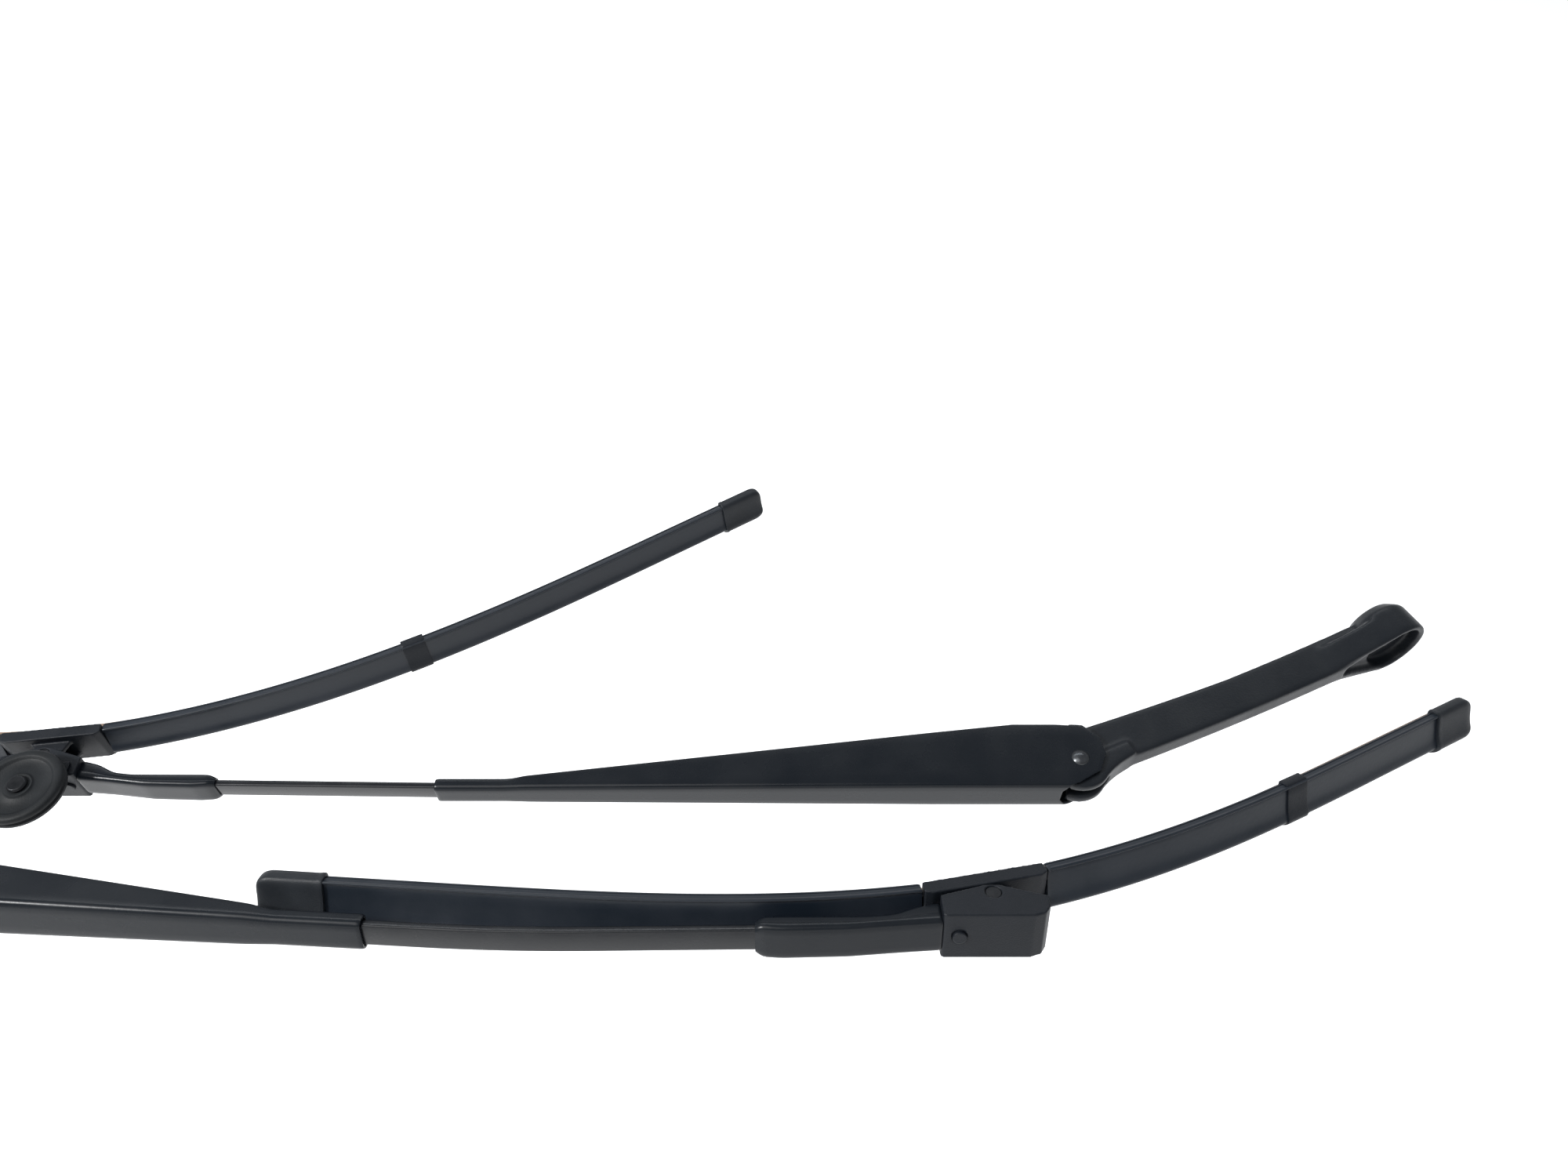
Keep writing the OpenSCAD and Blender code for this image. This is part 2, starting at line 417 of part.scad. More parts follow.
right_head();
right_hinge_bushes();
right_hinge_pin();
right_spring_post();
right_spring_hook();
right_tension_spring();
right_arm_channel();
right_arm_rod();
right_arm_end();
right_adapter();
right_release_button();
right_connector_base();
right_pivot_pin();
right_flexor();
right_rubber();
right_spoiler_inner();
right_spoiler_outer();
right_blade_clips();
right_cap_inner();
right_cap_outer();
park_bracket();
park_axle();
park_roller();
left_head();
left_hinge_bushes();
left_hinge_pin();
left_spring_post();
left_spring_hook();
left_tension_spring();
left_arm_channel();
left_arm_rod();
left_arm_end();
left_adapter();
left_release_button();
left_connector_base();
left_pivot_pin();
left_flexor();
left_rubber();
left_spoiler_inner();
left_spoiler_outer();
left_blade_clip();
left_cap_inner();
left_cap_outer();
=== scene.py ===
"""Looks of a pair of opposed windshield wipers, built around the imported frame."""

import bpy
import json
import math
import numpy as np
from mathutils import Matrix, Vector


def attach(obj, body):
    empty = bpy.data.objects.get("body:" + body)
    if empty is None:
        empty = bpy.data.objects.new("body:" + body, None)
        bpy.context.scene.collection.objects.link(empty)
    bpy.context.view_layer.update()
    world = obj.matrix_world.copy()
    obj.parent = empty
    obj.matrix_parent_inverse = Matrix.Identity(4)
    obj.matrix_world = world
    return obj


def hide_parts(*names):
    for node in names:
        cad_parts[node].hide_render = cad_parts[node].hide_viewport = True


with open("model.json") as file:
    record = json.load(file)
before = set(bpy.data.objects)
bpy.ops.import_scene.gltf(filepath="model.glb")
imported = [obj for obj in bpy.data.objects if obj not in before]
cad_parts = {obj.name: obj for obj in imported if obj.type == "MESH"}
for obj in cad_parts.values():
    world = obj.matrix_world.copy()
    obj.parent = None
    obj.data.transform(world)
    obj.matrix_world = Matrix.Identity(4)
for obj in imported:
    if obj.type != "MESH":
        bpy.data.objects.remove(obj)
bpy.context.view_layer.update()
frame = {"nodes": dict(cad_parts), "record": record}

# ---------------------------------------------------------------- sizes, mm, in each wiper's own arm frame
R, L = 0, 1
SIDE = ["right", "left"]
HEAD, FOLD, ROLL, LIFT = 166.0, math.radians(24), math.radians(22), 76.6
SET, SET_X = math.radians(4), 320.0
FLOOR, SHEET = -13.3, 1.2
ROD_W, ROD_T = 8.2, 2.8
ROD_Y = FLOOR + SHEET + ROD_T / 2
ROD_UP = math.radians(0.8)
CH_LEN, CH_W, TIP_W, NECK = 264.0, 16.6, 11.4, 5.5
END_X, END_LEN = [354.0, 383.0], 56.5
PIV_X, PIV_Y = [427.0, 456.0], 1.5
PIV_H, HALF, TILT = [10.5, 6.8], [330.0, 229.0], [-7.0, 13.0]
BEND, STRAIGHT = [0.19, 0.207], [279.0, 172.0]
CAP, AD_Y = 22.0, -8.6
EYE = np.array([HEAD * math.cos(FOLD), HEAD * math.sin(FOLD), 0.0])


def place(w, p):
    """Arm-frame points in mm to the row frame in metres."""
    p = np.asarray(p, float).reshape(-1, 3)
    if w == R:
        q = np.stack([-p[:, 0] - EYE[0], p[:, 1] - EYE[1], p[:, 2]], 1)
    else:
        c, s = math.cos(ROLL), math.sin(ROLL)
        q = np.stack([p[:, 0] - 513.5 - EYE[0], p[:, 1] * c + p[:, 2] * s - 98.9 - EYE[1], -p[:, 1] * s + p[:, 2] * c + LIFT], 1)
    return q / 1000.0


def near(w, p):
    """As place, for the hinge side of an arm: the left one is turned about the set of its rod."""
    p = np.asarray(p, float).reshape(-1, 3)
    if w == L:
        c, s = math.cos(-SET), math.sin(-SET)
        x, y = p[:, 0] - SET_X, p[:, 1] - ROD_Y
        p = np.stack([SET_X + x * c - y * s, ROD_Y + x * s + y * c, p[:, 2]], 1)
    return place(w, p)


def smooth_path(pts, n):
    """Catmull-Rom curve through the points."""
    p = np.asarray(pts, float)
    p = np.vstack([2 * p[0] - p[1], p, 2 * p[-1] - p[-2]])
    out = []
    for i in range(1, len(p) - 2):
        t = np.linspace(0, 1, n, endpoint=False)[:, None]
        a, b, c, d = p[i - 1], p[i], p[i + 1], p[i + 2]
        out.append(0.5 * (2 * b + (c - a) * t + (2 * a - 5 * b + 4 * c - d) * t**2 + (3 * b - a - 3 * c + d) * t**3))
    out.append(p[-2][None])
    return np.vstack(out)


def soft_line(x, pts, reach=2.5):
    """A line through the points with its corners softened over about reach mm."""
    xs, ys = zip(*pts)
    g = np.linspace(min(xs) - 10, max(xs) + 10, 1600)
    v = np.interp(g, xs, ys)
    k = max(3, int(reach / (g[1] - g[0])))
    ker = np.hanning(2 * k + 1)
    v = np.convolve(np.pad(v, k, mode="edge"), ker / ker.sum(), "valid")
    return np.interp(x, g, v)


# ---------------------------------------------------------------- meshes
def loft(rings, cap_a="fan", cap_b="fan"):
    """Closed rings of equal size joined by quads. Ends close with a fan, or as the edge of a sheet."""
    n, m = len(rings[0]), len(rings)
    V = [tuple(p) for r in rings for p in r]
    F = []
    for i in range(m - 1):
        for j in range(n):
            k = (j + 1) % n
            F.append((i * n + j, i * n + k, (i + 1) * n + k, (i + 1) * n + j))
    for base, how, flip in ((0, cap_a, True), ((m - 1) * n, cap_b, False)):
        if how == "fan":
            c = len(V)
            V.append(tuple(np.mean(rings[0 if base == 0 else -1], 0)))
            for j in range(n):
                k = (j + 1) % n
                F.append((base + k, base + j, c) if flip else (base + j, base + k, c))
        elif how == "sheet":
            h = n // 2
            for half in (0, h):
                for j in range(h // 2):
                    a, b = half + j, half + j + 1
                    c, d = half + h - 2 - j, half + h - 1 - j
                    if b >= half + h or b == c + 1 and a == c:
                        continue
                    q = [x % n for x in ((b, a, d, c) if flip else (a, b, c, d))]
                    q = list(dict.fromkeys(q))
                    if len(q) > 2:
                        F.append(tuple(q))
    return V, F


def piece(name, V, F, body, mat, stands_for=(), sharp=38, bevel=None):
    me = bpy.data.meshes.new(name)
    me.from_pydata([tuple(map(float, v)) for v in V], [], F)
    me.validate()
    ob = bpy.data.objects.new(name, me)
    bpy.context.scene.collection.objects.link(ob)
    me.materials.append(mat)
    import bmesh

    bm = bmesh.new()
    bm.from_mesh(me)
    bmesh.ops.remove_doubles(bm, verts=bm.verts, dist=1e-7)
    bmesh.ops.recalc_face_normals(bm, faces=bm.faces)
    bm.to_mesh(me)
    bm.free()
    me.polygons.foreach_set("use_smooth", [True] * len(me.polygons))
    me.set_sharp_from_angle(angle=math.radians(sharp))
    if bevel:
        b = ob.modifiers.new("edge", "BEVEL")
        b.width, b.segments, b.limit_method, b.angle_limit = bevel / 1000, 3, "ANGLE", math.radians(sharp)
        b.use_clamp_overlap = True
        b.harden_normals = False
        me.set_sharp_from_angle(angle=math.radians(179))
        ob.modifiers.new("normals", "WEIGHTED_NORMAL").keep_sharp = True
    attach(ob, body)
    if stands_for:
        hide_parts(*stands_for)
    return ob


# ---------------------------------------------------------------- materials
def material(name, dark, light, rough, spread, scale, bump, metallic=0.0, coat=0.0, coat_rough=0.2, fine=4.0, painted_lip_reflection=None, spec=0.3):
    m = bpy.data.materials.new(name)
    m.use_nodes = True
    t = m.node_tree
    b = t.nodes["Principled BSDF"]
    b.inputs["Metallic"].default_value = metallic
    b.inputs["Coat Weight"].default_value = coat
    b.inputs["Coat Roughness"].default_value = coat_rough
    b.inputs["Specular IOR Level"].default_value = spec
    co = t.nodes.new("ShaderNodeTexCoord")
    big, small = t.nodes.new("ShaderNodeTexNoise"), t.nodes.new("ShaderNodeTexNoise")
    big.inputs["Scale"].default_value, big.inputs["Detail"].default_value = scale, 5.0
    small.inputs["Scale"].default_value, small.inputs["Detail"].default_value = scale * fine * 4, 2.0
    for n in (big, small):
        t.links.new(co.outputs["Object"], n.inputs["Vector"])
    ramp = t.nodes.new("ShaderNodeValToRGB")
    ramp.color_ramp.elements[0].position, ramp.color_ramp.elements[1].position = 0.3, 0.72
    ramp.color_ramp.elements[0].color, ramp.color_ramp.elements[1].color = (*dark, 1), (*light, 1)
    t.links.new(big.outputs["Fac"], ramp.inputs["Fac"])
    colour = ramp.outputs["Color"]
    # painted reflection: points weighted towards the rubber's lip are mixed to tan, standing in for a brown surface
    # reflected along its edge
    if painted_lip_reflection:
        at = t.nodes.new("ShaderNodeAttribute")
        at.attribute_name = "painted_lip_reflection"
        mix = t.nodes.new("ShaderNodeMix")
        mix.data_type = "RGBA"
        mix.inputs["B"].default_value = (*painted_lip_reflection, 1)
        t.links.new(at.outputs["Fac"], mix.inputs["Factor"])
        t.links.new(colour, mix.inputs["A"])
        colour = mix.outputs["Result"]
    t.links.new(colour, b.inputs["Base Color"])
    mr = t.nodes.new("ShaderNodeMapRange")
    mr.inputs["From Min"].default_value, mr.inputs["From Max"].default_value = 0.25, 0.75
    mr.inputs["To Min"].default_value, mr.inputs["To Max"].default_value = rough - spread, rough + spread
    t.links.new(big.outputs["Fac"], mr.inputs["Value"])
    t.links.new(mr.outputs["Result"], b.inputs["Roughness"])
    bp = t.nodes.new("ShaderNodeBump")
    bp.inputs["Strength"].default_value, bp.inputs["Distance"].default_value = bump, 0.0002
    t.links.new(small.outputs["Fac"], bp.inputs["Height"])
    t.links.new(bp.outputs["Normal"], b.inputs["Normal"])
    return m


MAT = {
    "cast_black": material("cast_black", (0.006, 0.008, 0.011), (0.010, 0.012, 0.015), 0.40, 0.06, 60, 0.30, spec=0.28),
    "coated_steel": material("coated_steel", (0.004, 0.006, 0.009), (0.008, 0.010, 0.013), 0.27, 0.04, 45, 0.10, spec=0.25),
    "rod_black": material("rod_black", (0.005, 0.006, 0.008), (0.010, 0.011, 0.013), 0.25, 0.06, 80, 0.14, spec=0.40),
    "rivet_black": material("rivet_black", (0.05, 0.053, 0.058), (0.10, 0.105, 0.11), 0.26, 0.06, 160, 0.10, metallic=0.8),
    "zinc_steel": material("zinc_steel", (0.42, 0.43, 0.44), (0.56, 0.57, 0.58), 0.30, 0.08, 150, 0.12, metallic=1.0),
    "pin_black": material("pin_black", (0.012, 0.013, 0.015), (0.030, 0.031, 0.033), 0.36, 0.08, 150, 0.12, metallic=0.6),
    "spring_steel": material("spring_steel", (0.20, 0.20, 0.21), (0.34, 0.34, 0.35), 0.32, 0.07, 200, 0.10, metallic=1.0),
    "flexor_steel": material("flexor_steel", (0.10, 0.10, 0.11), (0.17, 0.17, 0.18), 0.38, 0.08, 120, 0.10, metallic=1.0),
    "bronze": material("bronze", (0.40, 0.27, 0.12), (0.55, 0.40, 0.20), 0.40, 0.08, 300, 0.25, metallic=1.0),
    "moulded_black": material("moulded_black", (0.005, 0.007, 0.010), (0.009, 0.011, 0.015), 0.44, 0.06, 90, 0.45, fine=8, spec=0.22),
    "cap_black": material("cap_black", (0.008, 0.010, 0.013), (0.013, 0.016, 0.020), 0.46, 0.06, 90, 0.45, fine=8, spec=0.30),
    "spoiler_black": material("spoiler_black", (0.007, 0.011, 0.017), (0.013, 0.017, 0.024), 0.38, 0.07, 50, 0.16, spec=0.38),
    # the tan colour for the rubber's lip is a painted reflection of a brown surface, not the rubber's own colour
    "blade_rubber": material("blade_rubber", (0.010, 0.010, 0.011), (0.020, 0.019, 0.018), 0.46, 0.07, 120, 0.15, painted_lip_reflection=(0.30, 0.21, 0.15), spec=0.25),
    "roller_rubber": material("roller_rubber", (0.005, 0.006, 0.007), (0.011, 0.013, 0.015), 0.56, 0.08, 100, 0.35, spec=0.22),
}


# ---------------------------------------------------------------- blade curve
def blade_line(w, s):
    """Point and tangent angle at arc length s along the flexor, in the arm frame."""
    g = np.linspace(-HALF[w], HALF[w], 2401)
    a = np.minimum(np.abs(g), STRAIGHT[w])
    th = np.radians(np.sign(g) * (BEND[w] * a - BEND[w] / STRAIGHT[w] * a * a / 2))
    d = g[1] - g[0]
    mid = (th[1:] + th[:-1]) / 2
    x = np.concatenate([[0], np.cumsum(np.cos(mid) * d)])
    y = np.concatenate([[0], np.cumsum(np.sin(mid) * d)])
    x -= np.interp(0, g, x)
    y -= np.interp(0, g, y) - PIV_H[w]
    X, Y, T = np.interp(s, g, x), np.interp(s, g, y), np.interp(s, g, th)
    c, k = math.cos(math.radians(TILT[w])), math.sin(math.radians(TILT[w]))
    return PIV_X[w] + X * c - Y * k, PIV_Y + X * k + Y * c, T + math.radians(TILT[w])


def blade_ring(w, s, prof):
    x, y, t = blade_line(w, s)
    prof = np.asarray(prof, float)
    return place(w, np.stack([x - prof[:, 1] * math.sin(t), y + prof[:, 1] * math.cos(t), prof[:, 0]], 1))


def shrink(prof, f, c):
    return (np.asarray(prof) - c) * f + c


curve_part = [(-8.0, 1.7), (-8.32, 0.4), (-8.1, -0.9), (-7.3, -2.3), (-6.0, -3.9), (-5.0, -4.66), (-4.2, -4.72), (-3.2, -4.35), (-1.4, -3.55),
              (1.0, -2.85), (4.2, -2.1), (6.3, -1.62)]
SPOILER = np.vstack([
    [(8.0, 1.45), (7.75, 1.7), (3.4, 1.7), (3.3, 0.62), (4.7, 0.58), (4.7, -0.5), (-4.7, -0.5), (-4.7, 0.58), (-3.3, 0.62), (-3.4, 1.7), (-7.8, 1.7)],
    smooth_path(curve_part, 4)[2:],
    [(6.9, -1.42), (7.15, -1.5), (7.4, -1.78), (7.75, -1.92), (8.1, -1.8), (8.28, -1.5), (8.26, -1.15), (8.12, -0.9), (8.1, -0.3), (8.1, 0.45), (7.85, 0.6), (7.85, 0.78), (8.1, 0.92)],
])
RUBBER = np.array([(3.1, 0.55), (3.1, 1.85), (2.9, 2.0), (1.2, 2.1), (1.05, 2.3), (1.1, 2.8), (2.5, 3.05), (2.75, 3.25), (2.75, 3.7), (2.55, 3.95), (1.0, 4.7), (0.8, 5.0),
                   (0.42, 7.5), (0.34, 7.6), (-0.34, 7.6), (-0.42, 7.5), (-0.8, 5.0), (-1.0, 4.7), (-2.55, 3.95), (-2.75, 3.7), (-2.75, 3.25), (-2.5, 3.05), (-1.1, 2.8),
                   (-1.05, 2.3), (-1.2, 2.1), (-2.9, 2.0), (-3.1, 1.85), (-3.1, 0.55)])
cap_curve = smooth_path([(-9.1, 0.9), (-9.15, -0.4), (-8.2, -2.9), (-6.7, -4.85), (-5.3, -5.75), (-4.3, -5.85), (-3.3, -5.6), (-1.2, -4.7), (2.0, -3.7), (6.6, -2.7), (8.3, -2.0), (8.95, -1.0), (9.0, 0.4)], 4)
CAP_PROF = np.vstack([[(8.9, 1.9), (8.5, 2.45), (7.9, 2.6), (4.0, 2.6), (-4.0, 2.6), (-8.0, 2.6), (-8.6, 2.45), (-9.0, 1.9)], cap_curve])
CLIP = np.array([(8.5, 2.2), (8.35, 2.4), (3.6, 2.4), (3.4, 2.25), (3.4, 1.82), (8.02, 1.82), (8.23, -0.66), (7.48, -1.43), (4.24, -2.13), (1.04, -2.93), (-1.85, -3.82),
                 (-3.77, -4.73), (-4.95, -4.83), (-6.1, -3.99), (-7.42, -2.36), (-8.43, -0.3), (-8.12, 1.82), (-3.4, 1.82), (-3.4, 2.25), (-3.6, 2.4), (-8.45, 2.4), (-8.6, 2.25),
                 (-8.9, -0.3), (-8.5, -1.55), (-7.8, -2.65), (-6.4, -4.4), (-5.3, -5.2), (-4.4, -5.35), (-3.6, -5.2), (-1.7, -4.25), (1.2, -3.4), (4.4, -2.6), (7.6, -1.95), (8.4, -1.35), (8.7, -0.7)])


def spoiler(w, a, b, name):
    s = np.concatenate([[a, a + 0.35, a + 0.9], np.linspace(a + 2, b - 2, 74), [b - 0.9, b - 0.35, b]])
    c = np.array([-0.6, -0.6])
    rings = []
    for v in s:
        e = min(v - a, b - v)
        f = 1 - 0.035 * max(0.0, 1 - e / 0.9) ** 2
        rings.append(blade_ring(w, v, shrink(SPOILER, f, c)))
    V, F = loft(rings)
    return piece(name + "_skin", V, F, SIDE[w] + "_blade", MAT["spoiler_black"], [name], sharp=32)


def rubber(w):
    name = SIDE[w] + "_rubber"
    s = np.linspace(-HALF[w] + 4, HALF[w] - 4, 120)
    V, F = loft([blade_ring(w, v, RUBBER) for v in s])
    ob = piece(name + "_skin", V, F, SIDE[w] + "_blade", MAT["blade_rubber"], [name], sharp=34)
    n = len(RUBBER)
    # how far each point is towards the lip: the weight of a tan painted reflection of a brown surface along the
    # rubber's edge
    at = ob.data.attributes.new("painted_lip_reflection", "FLOAT", "POINT")
    co = np.array([v.co for v in ob.data.vertices])
    rows = np.array(V)
    lip_reflection_weights = np.tile(np.clip((RUBBER[:, 1] - 4.6) / 2.2, 0, 1), len(s))
    values = np.zeros(len(co), np.float32)
    from mathutils.kdtree import KDTree

    kd = KDTree(len(lip_reflection_weights))
    for i in range(len(lip_reflection_weights)):
        kd.insert(rows[i], i)
    kd.balance()
    for i, c in enumerate(co):
        values[i] = lip_reflection_weights[kd.find(c)[1]]
    at.data.foreach_set("value", values)
    return ob


def end_cap(w, m, name):
    c = np.array([-0.4, -0.9])
    d = np.concatenate([[0, 0.25, 0.7, 1.3, 2.2, 2.5, 3.1], np.linspace(4, CAP - 5, 12), CAP - 5 + 5 * np.sin(np.radians(np.arange(8, 91, 7)))])
    rings = []
    for v in d:
        f = 1.0
        if v < 0.7:
            f = 0.975 + 0.025 * math.sqrt(max(0, 1 - (1 - v / 0.7) ** 2))
        if 2.2 <= v:
            f = 0.982
        if v > CAP - 5:
            u = (v - (CAP - 5)) / 5
            f = 0.982 * (0.62 + 0.38 * math.sqrt(max(0.0, 1 - u * u)))
        rings.append(blade_ring(w, m * (HALF[w] - CAP + v), shrink(CAP_PROF, f, c)))
    V, F = loft(rings)
    return piece(name + "_skin", V, F, SIDE[w] + "_blade", MAT["cap_black"], [name], sharp=36)


def clips(w, where, name):
    V, F = [], []
    for s0 in where:
        rings = []
        for v in (-5, -4.8, -4.4, -3, 0, 3, 4.4, 4.8, 5):
            f = 1.0 if abs(v) < 4.5 else (0.994 if abs(v) < 4.9 else 0.98)
            rings.append(blade_ring(w, s0 + v, shrink(CLIP, f, np.array([-0.3, -0.8]))))
        v1, f1 = loft(rings, None, None)
        n, m = len(CLIP), len(rings)
        base = len(V)
        # the two end faces, each as one polygon
        f1.append(tuple(range(n - 1, -1, -1)))
        f1.append(tuple((m - 1) * n + j for j in range(n)))
        V += v1
        F += [tuple(base + i for i in f) for f in f1]
    return piece(name + "_skin", V, F, SIDE[w] + "_blade", MAT["moulded_black"], [name], sharp=34)


# ---------------------------------------------------------------- pressed channel
hinge_edge = smooth_path([(-13.3, 9.2), (-12.6, 6.0), (-11.3, 2.0), (-8.2, -4.5), (-4.0, -9.2), (0.5, -11.0), (6.0, -10.4), (12.0, -8.6), (15.4, -4.4), (16.3, 2.0)], 12)


def channel_section(x, zw, top, b):
    """Half of the sheet's closed section, from the middle of the floor round the edge and back inside. b is 1 where the flanges are folded in."""
    rc, t, fy = 2.1, SHEET, FLOOR
    out = [(0, fy), ((zw - rc) * 0.55, fy), (zw - rc, fy)]
    for a in (18, 36, 54, 72, 90):
        out.append((zw - rc + rc * math.sin(math.radians(a)), fy + rc - rc * math.cos(math.radians(a))))
    y0 = fy + rc
    ytop = (top - t / 2) * (1 - b) + (fy + NECK - 1.7) * b
    out += [(zw, y0 + (ytop - y0) * f) for f in (0.2, 0.5, 0.8, 1.0)]
    rim_o = [(zw - t / 2 + t / 2 * math.cos(math.radians(a)), top - t / 2 + t / 2 * math.sin(math.radians(a))) for a in np.linspace(0, 180, 14)[1:-1]]
    r1, r2 = 1.7, 1.7 - t
    n = fy + NECK
    rim_f = [(zw - r1 + r1 * math.cos(math.radians(a)), n - r1 + r1 * math.sin(math.radians(a))) for a in (30, 60, 90)]
    rim_f += [(2.6, n), (1.5, n), (1.2, n - 0.25), (1.2, n - t + 0.25), (1.5, n - t), (2.6, n - t)]
    rim_f += [(zw - r1 + r2 * math.cos(math.radians(a)), n - r1 + r2 * math.sin(math.radians(a))) for a in (90, 60, 30)]
    rim = [(p[0] * (1 - b) + q[0] * b, p[1] * (1 - b) + q[1] * b) for p, q in zip(rim_o, rim_f)]
    inner = [(zw - t, y0 + (ytop - y0) * f) for f in (1.0, 0.8, 0.5, 0.2)]
    for a in (90, 72, 54, 36, 18):
        inner.append((zw - rc + (rc - t) * math.sin(math.radians(a)), fy + rc - (rc - t) * math.cos(math.radians(a))))
    inner += [(zw - rc, fy + t), ((zw - rc) * 0.55, fy + t), (0, fy + t)]
    return np.array(out + rim + inner)


def channel(w):
    name = SIDE[w] + "_arm_channel"

    def width(x):
        return np.interp(x, [-20, 60, 226, 236, 300], [CH_W / 2, CH_W / 2, TIP_W / 2 + 0.6, TIP_W / 2, TIP_W / 2])

    def wall(x):
        return 16.3 if x < 26 else 16.3 - (x - 26) * 23.5 / 202

    rings = []

    def ring(half, xs):
        z = np.concatenate([half[:, 0], -half[::-1][:, 0]])
        y = np.concatenate([half[:, 1], half[::-1][:, 1]])
        return np.stack([np.concatenate([xs, xs[::-1]]), y, z], 1)

    half = channel_section(26, CH_W / 2, 16.3, 0.0)
    xs0 = np.interp(half[:, 1], hinge_edge[:, 0], hinge_edge[:, 1])
    xs0[(np.abs(half[:, 0]) < CH_W / 2 - 2.15) & (half[:, 1] < FLOOR + 2)] = 8.4
    mid = (half + half[::-1]) / 2
    xm = (xs0 + xs0[::-1]) / 2
    xs0 = xm
    rings.append(ring(half + (mid - half) * 0.45, xs0))
    rings.append(ring(half + (mid - half) * 0.14, xs0 + 0.1))
    for t in (0.012, 0.05, 0.12, 0.2, 0.3, 0.42, 0.56, 0.72, 0.88, 1.0):
        x = xs0 + 0.15 + (26 - xs0) * t * 0.99
        h = half.copy()
        low = np.clip((8 - x) / 16, 0, 1) * 1.0
        h[:, 1] -= low * np.clip((half[:, 1] - 8) / 8, 0, 1)
        rings.append(ring(h, x))
    for x in np.concatenate([np.arange(32, 226, 7.0), np.arange(227, 240, 1.0), [243, 248, 254, 259, 262.6]]):
        b = float(np.clip((x - 228) / 9, 0, 1))
        b = b * b * (3 - 2 * b)
        h = channel_section(x, float(width(x)), max(wall(x), FLOOR + NECK), b)
        rings.append(ring(h, np.full(len(h), x)))
    m2 = (h + h[::-1]) / 2
    rings.append(ring(h + (m2 - h) * 0.12, np.full(len(h), 263.6)))
    rings.append(ring(h + (m2 - h) * 0.5, np.full(len(h), 264.0)))
    n = len(h)
    rings = [near(w, r) for r in rings]
    V, F = loft(rings, None, None)
    for base, flip in ((0, True), ((len(rings) - 1) * 2 * n, False)):
        for half0 in (0, n):
            for j in range(n // 2):
                q = [half0 + j, half0 + j + 1, half0 + n - 2 - j, half0 + n - 1 - j]
                q = list(dict.fromkeys(base + i for i in q))
                if len(q) > 2:
                    F.append(tuple(q[::-1] if flip else q))
    # the ring runs out along one flank and back inside, then the same for the other flank
    return piece(name + "_skin", V, F, SIDE[w] + "_arm", MAT["coated_steel"], [name], sharp=40)


# ---------------------------------------------------------------- rod and arm end
def rounded(hw, ht, r, n=4):
    out = []
    for sx, sy, a0 in ((1, 1, 0), (-1, 1, 90), (-1, -1, 180), (1, -1, 270)):
        for a in np.linspace(a0, a0 + 90, n + 1):
            out.append((sx * (hw - r) + r * math.cos(math.radians(a)), sy * (ht - r) + r * math.sin(math.radians(a))))
    return np.array(out)


def rod(w):
    name = SIDE[w] + "_arm_rod"
    end = END_X[w] + 25.5
    if w == R:
        line = [(146.3, ROD_Y, 0), (246, ROD_Y, 0.0)] + [(x, ROD_Y + (x - 246) * math.tan(ROD_UP), ROD_UP) for x in np.linspace(247, end, 30)]
    else:
        up = lambda x: ROD_Y + (x - 246) * math.tan(ROD_UP)
        a = np.array([SET_X - 38, ROD_Y + 38 * math.sin(SET)])
        cx = (SET_X * math.sin(SET) + 246 * math.tan(ROD_UP)) / (math.sin(SET) + math.tan(ROD_UP))
        c, b = np.array([cx, up(cx)]), np.array([SET_X + 14, up(SET_X + 14)])
        line = [(SET_X - (SET_X - 146.3) * math.cos(SET), ROD_Y + (SET_X - 146.3) * math.sin(SET), -SET)]
        for t in np.linspace(0, 1, 17):
            p = (1 - t) ** 2 * a + 2 * t * (1 - t) * c + t * t * b
            line.append((p[0], p[1], -SET + (SET + ROD_UP) * t))
        line += [(x, up(x), ROD_UP) for x in np.linspace(SET_X + 18, end, 16)]
    rings = []
    for i, (x, y, a) in enumerate(line):
        f = 0.9 if i in (0, len(line) - 1) else 1.0
        q = rounded(ROD_W / 2 * f, ROD_T / 2 * f, 0.75 * f)
        rings.append(place(w, np.stack([x - q[:, 1] * math.sin(a), y + q[:, 1] * math.cos(a), q[:, 0]], 1)))
    V, F = loft(rings)
    return piece(name + "_skin", V, F, SIDE[w] + "_arm", MAT["rod_black"], [name], sharp=60)


